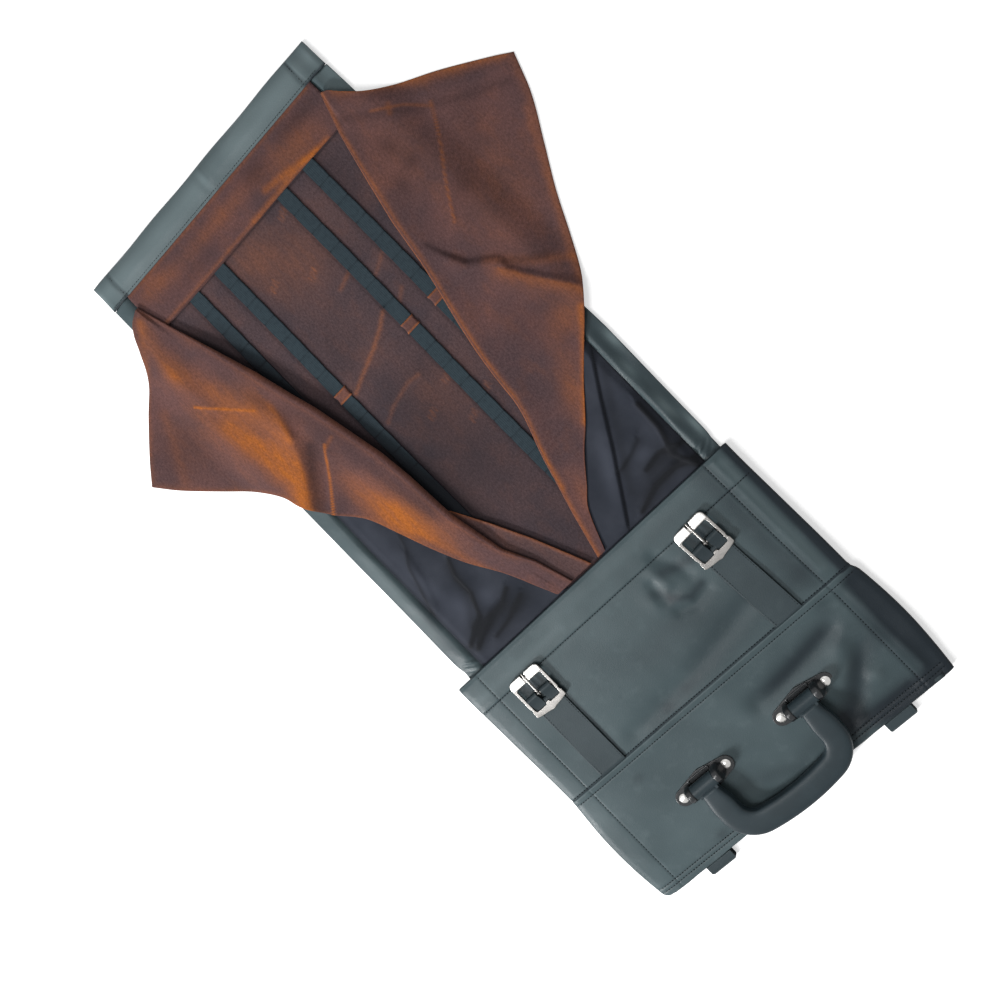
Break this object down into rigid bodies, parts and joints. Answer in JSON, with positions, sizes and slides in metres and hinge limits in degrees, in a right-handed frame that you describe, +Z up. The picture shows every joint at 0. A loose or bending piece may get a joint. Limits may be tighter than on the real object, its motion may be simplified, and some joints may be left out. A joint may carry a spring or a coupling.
{
  "type": "roll-up knife display case",
  "caption": "Soft roll-up knife case laid open, with elastic bands on a cloth display panel, turned-out wings, a buckled front flap and a moulded carrying handle.",
  "frame": {"origin": "centre of the laid-out case in plan, at the height of the bench", "axes": "+X across the case to the right as seen from the handle, +Y from the handle's end to the far end of the display, +Z up from the bench"},
  "size_m": [0.5594, 0.8476, 0.0323],
  "materials": {
    "vinyl": "satin grained imitation leather",
    "black_cloth": "matte plain-woven lining",
    "brown_cloth": "matte brushed cotton",
    "elastic": "ribbed woven elastic",
    "black_metal": "satin black",
    "bright_metal": "bright plated",
    "black_moulding": "matte moulded"
  },
  "bodies": {
    "case_back": {"back_shell": "vinyl", "back_lining": "black_cloth", "back_hems": "vinyl", "wing_tail_left": "black_cloth", "wing_tail_right": "black_cloth", "billet_strap_left": "vinyl", "billet_strap_right": "vinyl"},
    "spine": {"spine_panel": "vinyl", "spine_lining": "black_cloth", "seam_welt": "vinyl", "handle_bracket_left": "black_metal", "handle_bracket_right": "black_metal", "handle_pin_left": "black_metal", "handle_pin_right": "black_metal", "bracket_rivets": "bright_metal", "rivet_washers": "black_metal"},
    "handle": {"handle_grip": "black_moulding", "grip_barrels": "black_moulding"},
    "front_flap": {"flap_panel": "vinyl", "flap_lining": "black_cloth", "flap_hem": "vinyl"},
    "strap_left": {"buckle_strap_left": "vinyl"},
    "strap_right": {"buckle_strap_right": "vinyl"},
    "buckle_left": {"buckle_frame_left": "bright_metal", "buckle_bar_left": "bright_metal"},
    "buckle_right": {"buckle_frame_right": "bright_metal", "buckle_bar_right": "bright_metal"},
    "prong_swing_left": {"prong_left": "bright_metal"},
    "prong_swing_right": {"prong_right": "bright_metal"},
    "display": {"display_shell": "vinyl", "display_hems": "vinyl", "display_panel": "brown_cloth", "end_strip": "vinyl", "header_band": "brown_cloth", "elastic_upper_1": "elastic", "elastic_upper_2": "elastic", "elastic_upper_3": "elastic", "elastic_upper_4": "elastic", "elastic_lower_1": "elastic", "elastic_lower_2": "elastic", "elastic_lower_3": "elastic", "elastic_lower_4": "elastic", "bridge_tabs": "brown_cloth", "wing_under_left": "black_cloth", "wing_under_right": "black_cloth", "wing_fold_left": "brown_cloth", "wing_fold_right": "brown_cloth"},
    "wing_flap_left": {"wing_left": "brown_cloth"},
    "wing_flap_right": {"wing_right": "brown_cloth"},
    "billet_left": {"billet_end_left": "vinyl"},
    "billet_right": {"billet_end_right": "vinyl"}
  },
  "joints": [
    {"name": "cover_fold", "type": "hinge", "parent": "case_back", "child": "spine", "pos_m": [0, -0.4112, 0.0105], "axis": [1, 0, 0], "range_deg": [0, 100]},
    {"name": "flap_fold", "type": "hinge", "parent": "spine", "child": "front_flap", "pos_m": [0, -0.2762, 0.0135], "axis": [1, 0, 0], "range_deg": [0, 90]},
    {"name": "handle_swing", "type": "hinge", "parent": "spine", "child": "handle", "pos_m": [0, -0.3427, 0.0235], "axis": [1, 0, 0], "range_deg": [-165, 0]},
    {"name": "strap_left_lift", "type": "hinge", "parent": "front_flap", "child": "strap_left", "pos_m": [-0.12852, -0.2747, 0.0158], "axis": [-1, 0, 0], "range_deg": [-150, 0]},
    {"name": "strap_right_lift", "type": "hinge", "parent": "front_flap", "child": "strap_right", "pos_m": [0.10148, -0.2747, 0.0158], "axis": [-1, 0, 0], "range_deg": [-150, 0]},
    {"name": "buckle_left_rock", "type": "hinge", "parent": "strap_left", "child": "buckle_left", "pos_m": [-0.12852, -0.1702, 0.018], "axis": [1, 0, 0], "range_deg": [-4, 1]},
    {"name": "buckle_right_rock", "type": "hinge", "parent": "strap_right", "child": "buckle_right", "pos_m": [0.09459, -0.17043, 0.018], "axis": [0.9978, 0.0663, 0], "range_deg": [-4, 1]},
    {"name": "prong_left_swing", "type": "hinge", "parent": "buckle_left", "child": "prong_swing_left", "pos_m": [-0.12852, -0.1702, 0.018], "axis": [1, 0, 0], "range_deg": [0, 120]},
    {"name": "prong_right_swing", "type": "hinge", "parent": "buckle_right", "child": "prong_swing_right", "pos_m": [0.09459, -0.17043, 0.018], "axis": [0.9978, 0.0663, 0], "range_deg": [0, 120]},
    {"name": "display_fold", "type": "hinge", "parent": "case_back", "child": "display", "pos_m": [0, -0.1132, 0.0135], "axis": [-1, 0, 0], "range_deg": [-140, 0]},
    {"name": "wing_left_turn", "type": "hinge", "parent": "display", "child": "wing_flap_left", "pos_m": [-0.04052, -0.1128, 0.0108], "axis": [-0.2187, 0.9758, 0], "range_deg": [0, 172]},
    {"name": "wing_right_turn", "type": "hinge", "parent": "display", "child": "wing_flap_right", "pos_m": [0.13043, 0.3768, 0.0108], "axis": [-0.2286, -0.9735, 0], "range_deg": [0, 164]},
    {"name": "billet_left_lift", "type": "hinge", "parent": "display", "child": "billet_left", "pos_m": [-0.12052, -0.1132, 0], "axis": [1, 0, 0], "range_deg": [-75, 0]},
    {"name": "billet_right_lift", "type": "hinge", "parent": "display", "child": "billet_right", "pos_m": [0.10848, -0.1132, 0], "axis": [1, 0, 0], "range_deg": [-75, 0]}
  ]
}
